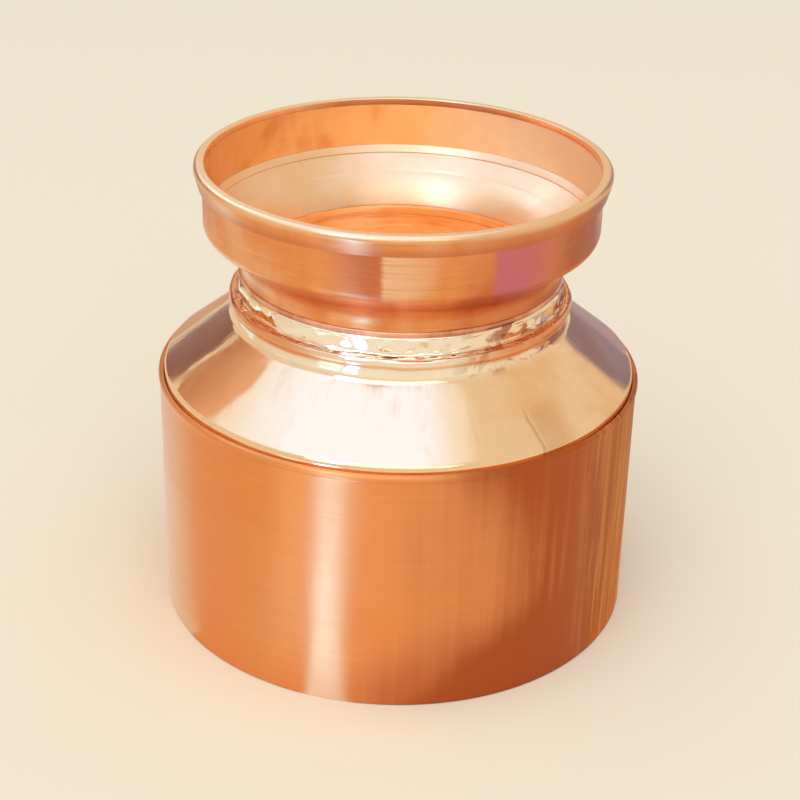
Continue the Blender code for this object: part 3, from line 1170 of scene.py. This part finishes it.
neck = {
    "sheet": 0.7,
    "gap": 0.3,  # to the mouth's band and the shoulder's collar
    "funnelTop": 94.7,
    "fold": (39.6, 90.4),  # where the cone of the funnel goes over into its bell
    "foldLine": ((1.0, 0.93), (0.5, 0.32)),  # a faint turned line there, outwards and up from the fold
    "bellSweep": 28.0,  # degrees that the bell turns
    "throatRadius": 35.35,
    "throatZ": 84.0,
    "ledgeFillet": 0.5,
    "ledgeZ": 81.7,
    "topRound": 1.0,  # from the ledge into the upright band
    "topTurn": (75, -8),  # degrees where that starts and ends
    "bandRadius": 37.5,
    "footFillet": 1.0,  # the foot of the band is pressed out over the collar's edge
    "footTurn": (180, 268),
    "footInset": 0.1,
    "footLift": 0.05,  # over the collar's top
    "footRadius": 38.9,
    "footEdge": ((0.0, 0.03), (-0.1, -0.3)),  # from there, outwards and up
    "footTuck": 0.6,
    "foldBack": 34.75,  # the spigot is folded back inside, flush with the throat
    "foldBackTop": 81.7,
    "edge": 0.16,
    "join": 0.01,
    "dentSize": 6.0,
    "dentDepth": 1.1,
    "creaseSize": 2.8,
    "creaseDepth": 0.9,
    "dentedAbove": 0.2,  # over the collar's top
    "dentedBelow": 0.6,  # under the ledge
    "dentedInset": 0.3,
    "throatEdge": 0.1,  # the funnel's finish reaches so far below the bell
    "longest": 0.6,
}


def makeNeck():
    foot = reach("neck_funnel")[1]
    collarTop = reach("shoulder")[2]
    collarInner = shoulder["collarRadius"] - shoulder["sheet"] - neck["gap"]
    throat = neck["throatRadius"]
    band = neck["bandRadius"]
    fillet, top, press = neck["ledgeFillet"], neck["topRound"], neck["footFillet"]
    foldR, foldZ = neck["fold"]
    points = [(bandRadius() - neck["gap"], neck["funnelTop"])]
    points += [(foldR + out, foldZ + up) for out, up in neck["foldLine"]]
    points += roundBetween((foldR, foldZ), (throat, neck["throatZ"]), neck["bellSweep"], steps=18)
    points += arc(throat + fillet, neck["ledgeZ"] + fillet, fillet, 180, 270, steps=6)
    points += arc(band - top, neck["ledgeZ"] - top, top, *neck["topTurn"], steps=12)
    pressR, pressZ = band - neck["footInset"] + press, collarTop + neck["footLift"] + press
    points += arc(pressR, pressZ, press, *neck["footTurn"], steps=8)
    points += [(neck["footRadius"] + out, collarTop + up) for out, up in neck["footEdge"]]
    points.append((collarInner, collarTop - neck["footTuck"]))
    bend = (collarInner - neck["foldBack"]) / 2
    points += arc(collarInner - bend, foot + bend, bend, 0, -180, steps=12)
    points.append((neck["foldBack"], neck["foldBackTop"]))
    piece = spinProfile("neckFunnel", divide(points, neck["longest"]))
    faceOutwards(piece, True)
    addSheet(piece, neck["sheet"], -1, neck["edge"], neck["join"])
    low, high = collarTop + neck["dentedAbove"], neck["ledgeZ"] - neck["dentedBelow"]
    dented = groupBand(piece, low, high, band - neck["dentedInset"])
    addDents(piece, "neckDents", neck["dentSize"], neck["dentDepth"], dented)
    addDents(piece, "neckCreases", neck["creaseSize"], neck["creaseDepth"], dented)
    finishPiece(piece, "neck_funnel", neckPolish)
    paintInside(piece, insideDull)
    paintInside(piece, funnelSatin, low=neck["throatZ"] - neck["throatEdge"])


hem = {
    "rise": 1.8,  # how far it stands up the band above the funnel's edge
    "width": 1.3,
    "seam": 0.06,  # the dark line above the funnel's edge
    "topEdge": (0.22, 0.06),  # its thin upper edge, inwards and down
    "nose": (0.14, 0.34),  # where the slope goes over into the inner edge, back and up
    "noseHeight": 0.18,
    "undercut": 0.08,
}


def makeHem():
    # the ring of solder metal that was turned smooth over the funnel's upper edge
    bandR = bandRadius()
    inner = bandR - hem["width"]
    low = neck["funnelTop"] + hem["seam"]
    top = low + hem["rise"]
    topIn, topDown = hem["topEdge"]
    noseBack, noseUp = hem["nose"]
    points = [(bandR, top), (bandR - topIn, top - topDown)]
    points += [(inner + noseBack, low + noseUp), (inner, low + hem["noseHeight"])]
    points += [(inner + hem["undercut"], low), (bandR, low), (bandR, top)]
    piece = spinProfile("funnelHem", points, True)
    finishPiece(piece, None, funnelSatin)


makeWall()
makeBase()
makeShoulder()
makeNeck()
makeHem()
makeMouth()

# runs of solder: node, how far it swells into the gaps, lumps, sag
rings = {
    "solderBead": ("mouth_solder", 0.22, 0.18, 0.20),
    "panBraze": ("base_braze", 0.10, 0.20, 0.0),
    "skirtSolder": ("shoulder_solder", 0.10, 0.20, 0.0),
    "neckSolder": ("neck_solder", 0.05, 0.15, 0.0),
}
lumpSize = 3.0


def newTorus(name, radius, level, half):
    bpy.ops.object.select_all(action="DESELECT")
    bpy.ops.mesh.primitive_torus_add(
        location=(0, 0, 0), major_radius=radius * mm, minor_radius=half * mm,
        major_segments=sides, minor_segments=14,
    )
    piece = bpy.context.object
    piece.name = name
    editAll()
    bpy.ops.transform.translate(value=(0, 0, level * mm))
    bpy.ops.object.mode_set(mode="OBJECT")
    return piece


def makeRing(name, node, swell, lumps, sag):
    # a lumpy round bead that fills its node's section
    widest, foot, top = reach(node)
    half = (top - foot) / 2
    piece = newTorus(name, widest - half, foot + half - sag, half + swell)
    addDents(piece, name + "Lumps", lumpSize, lumps)
    finishPiece(piece, node, braze)


for name, values in rings.items():
    makeRing(name, *values)

lipWire = {
    "kinkSize": 9.0,
    "kinkDepth": 0.06,
}


def makeWire():
    wireR, wireZ = wireCentre()
    piece = newTorus("lipWire", wireR, wireZ, mouth["wire"])
    addDents(piece, "wireKinks", lipWire["kinkSize"], lipWire["kinkDepth"])
    finishPiece(piece, "rim_wire", turned)


makeWire()
